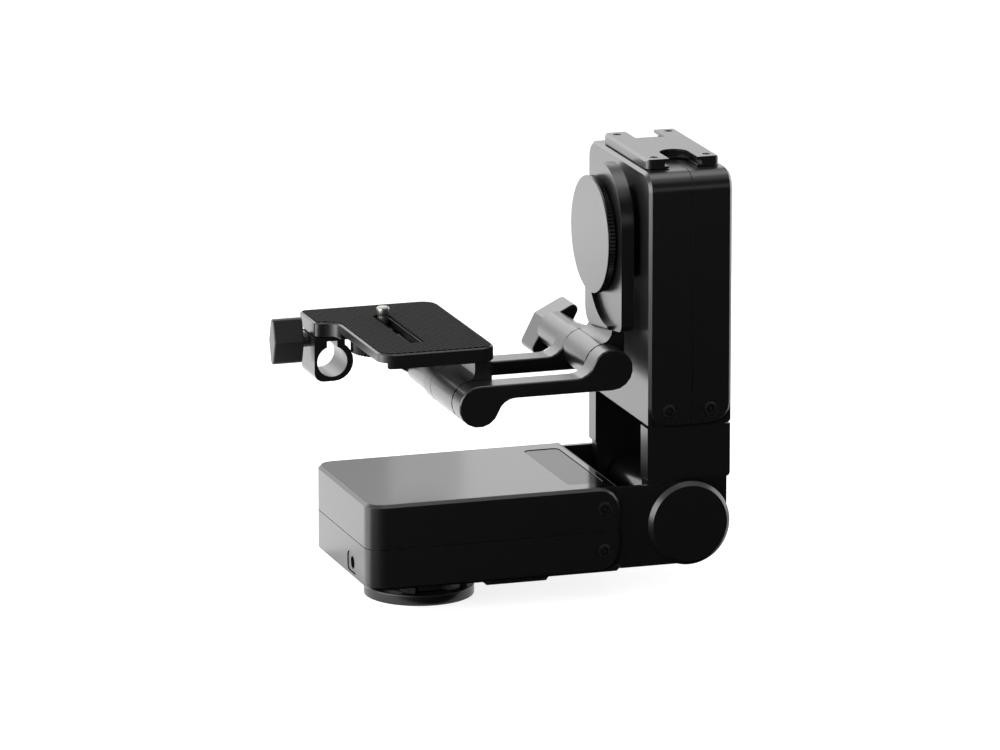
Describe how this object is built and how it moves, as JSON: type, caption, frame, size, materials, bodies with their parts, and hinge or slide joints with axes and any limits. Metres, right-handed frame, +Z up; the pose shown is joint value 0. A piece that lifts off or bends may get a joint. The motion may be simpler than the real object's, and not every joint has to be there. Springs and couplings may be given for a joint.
{
  "type": "remote pan tilt head",
  "caption": "Motorised camera head: a base drive module pans on a disc, a folding tower module tilts an offset arm with linked elbows, a slotted camera plate and a rod clamp.",
  "frame": {"origin": "centre of the bottom face of the pan mounting disc, on the pan axis", "axes": "X along the base towards the tower, Y from the front to the back, Z up along the pan axis"},
  "size_m": [0.1981, 0.1274, 0.2135],
  "materials": {
    "satin_black": "satin black anodised aluminium",
    "matte_black": "matt black oxide",
    "gloss_black": "glossy black sheet",
    "smoked_window": "smoked window",
    "black_plastic": "moulded black plastic",
    "rubber_pad": "cross-hatched rubber",
    "bright_steel": "bright steel",
    "dark_steel": "dark machined steel",
    "gear_brass": "machined brass",
    "board_green": "green circuit board"
  },
  "bodies": {
    "mount": {"pan_mount_disc": "satin_black", "pan_clamp_hub": "matte_black", "pan_output_shaft": "matte_black", "pan_gear": "gear_brass"},
    "base": {"base_lower_shell": "satin_black", "base_upper_shell": "satin_black", "base_top_panel": "gloss_black", "status_window": "smoked_window", "base_hinge_frame": "satin_black", "front_hinge_cap": "satin_black", "rear_hinge_cap": "satin_black", "hinge_pin": "dark_steel", "base_screw_front_lower": "matte_black", "base_screw_front_upper": "matte_black", "base_screw_rear_lower": "matte_black", "base_screw_rear_upper": "matte_black", "pan_bearing": "dark_steel", "pan_motor": "dark_steel", "base_control_board": "board_green", "power_port": "black_plastic", "underside_cover": "matte_black"},
    "pan_pinion": {"pan_pinion": "gear_brass"},
    "tower": {"tower_hinge_block": "satin_black", "hinge_barrel": "matte_black", "front_hinge_bush": "gear_brass", "rear_hinge_bush": "gear_brass", "tower_inner_shell": "satin_black", "tower_outer_shell": "satin_black", "tower_screw_front_inner": "matte_black", "tower_screw_front_outer": "matte_black", "tower_screw_rear_inner": "matte_black", "tower_screw_rear_outer": "matte_black", "tilt_bearing": "dark_steel", "tilt_motor": "dark_steel", "tower_control_board": "board_green", "battery_contact_block": "black_plastic", "top_plate": "satin_black", "top_plate_screw_front_inner": "matte_black", "top_plate_screw_front_outer": "matte_black", "top_plate_screw_rear_inner": "matte_black", "top_plate_screw_rear_outer": "matte_black"},
    "tilt_pinion": {"tilt_pinion": "gear_brass"},
    "arm": {"tilt_output_shaft": "matte_black", "tilt_gear": "gear_brass", "tilt_arm": "satin_black"},
    "lock_knob": {"tilt_lock_knob": "satin_black"},
    "links": {"front_link": "satin_black", "rear_link": "satin_black", "right_elbow_bolt": "dark_steel", "left_elbow_bolt": "dark_steel"},
    "right_paddle": {"right_paddle_knob": "satin_black"},
    "left_paddle": {"left_paddle_knob": "satin_black"},
    "plate": {"plate_bracket": "satin_black", "camera_plate": "satin_black", "grip_pad": "rubber_pad", "rod_clamp": "satin_black"},
    "clamp_knob": {"rod_clamp_knob": "matte_black"},
    "slider": {"slot_slider": "dark_steel"},
    "screw": {"camera_screw": "bright_steel", "screw_thumbwheel": "matte_black"}
  },
  "joints": [
    {"name": "pan", "type": "hinge", "parent": "mount", "child": "base", "pos_m": [0, 0, 0.0148], "axis": [0, 0, 1], "continuous": true},
    {"name": "pan_pinion_turn", "type": "hinge", "parent": "base", "child": "pan_pinion", "pos_m": [0.03, 0, 0.0288], "axis": [0, 0, 1], "continuous": true},
    {"name": "fold", "type": "hinge", "parent": "base", "child": "tower", "pos_m": [0.1223, 0, 0.0358], "axis": [0, 1, 0], "range_deg": [0, 90]},
    {"name": "tilt", "type": "hinge", "parent": "tower", "child": "arm", "pos_m": [0.098, 0, 0.1712], "axis": [1, 0, 0], "continuous": true},
    {"name": "tilt_pinion_turn", "type": "hinge", "parent": "tower", "child": "tilt_pinion", "pos_m": [0.1153, 0, 0.1412], "axis": [1, 0, 0], "continuous": true},
    {"name": "tilt_lock_turn", "type": "hinge", "parent": "arm", "child": "lock_knob", "pos_m": [0.089, 0, 0.1712], "axis": [1, 0, 0], "range_deg": [-180, 180]},
    {"name": "elbow", "type": "hinge", "parent": "arm", "child": "links", "pos_m": [0.0878, 0, 0.1112], "axis": [0, 1, 0], "range_deg": [-15, 70]},
    {"name": "right_paddle_turn", "type": "hinge", "parent": "links", "child": "right_paddle", "pos_m": [0.0878, 0.06, 0.1112], "axis": [0, -1, 0], "range_deg": [-90, 90]},
    {"name": "left_paddle_turn", "type": "hinge", "parent": "links", "child": "left_paddle", "pos_m": [0.0206, 0.06, 0.0979], "axis": [0, -1, 0], "range_deg": [0, 90]},
    {"name": "plate_elbow", "type": "hinge", "parent": "links", "child": "plate", "pos_m": [0.0206, 0, 0.0979], "axis": [0, 1, 0], "range_deg": [-15, 25]},
    {"name": "clamp_knob_turn", "type": "hinge", "parent": "plate", "child": "clamp_knob", "pos_m": [-0.045, 0.063, 0.11385], "axis": [1, 0, 0], "range_deg": [-180, 180]},
    {"name": "screw_slide", "type": "slide", "parent": "plate", "child": "slider", "axis": [0, 1, 0], "range_m": [-0.05, 0]},
    {"name": "screw_turn", "type": "hinge", "parent": "slider", "child": "screw", "pos_m": [-0.0011, 0.054, 0.118], "axis": [0, 0, 1], "continuous": true}
  ],
  "couplings": [
    {"joint": "pan_pinion_turn", "follows": "pan", "ratio": 4},
    {"joint": "tilt_pinion_turn", "follows": "tilt", "ratio": -4}
  ]
}
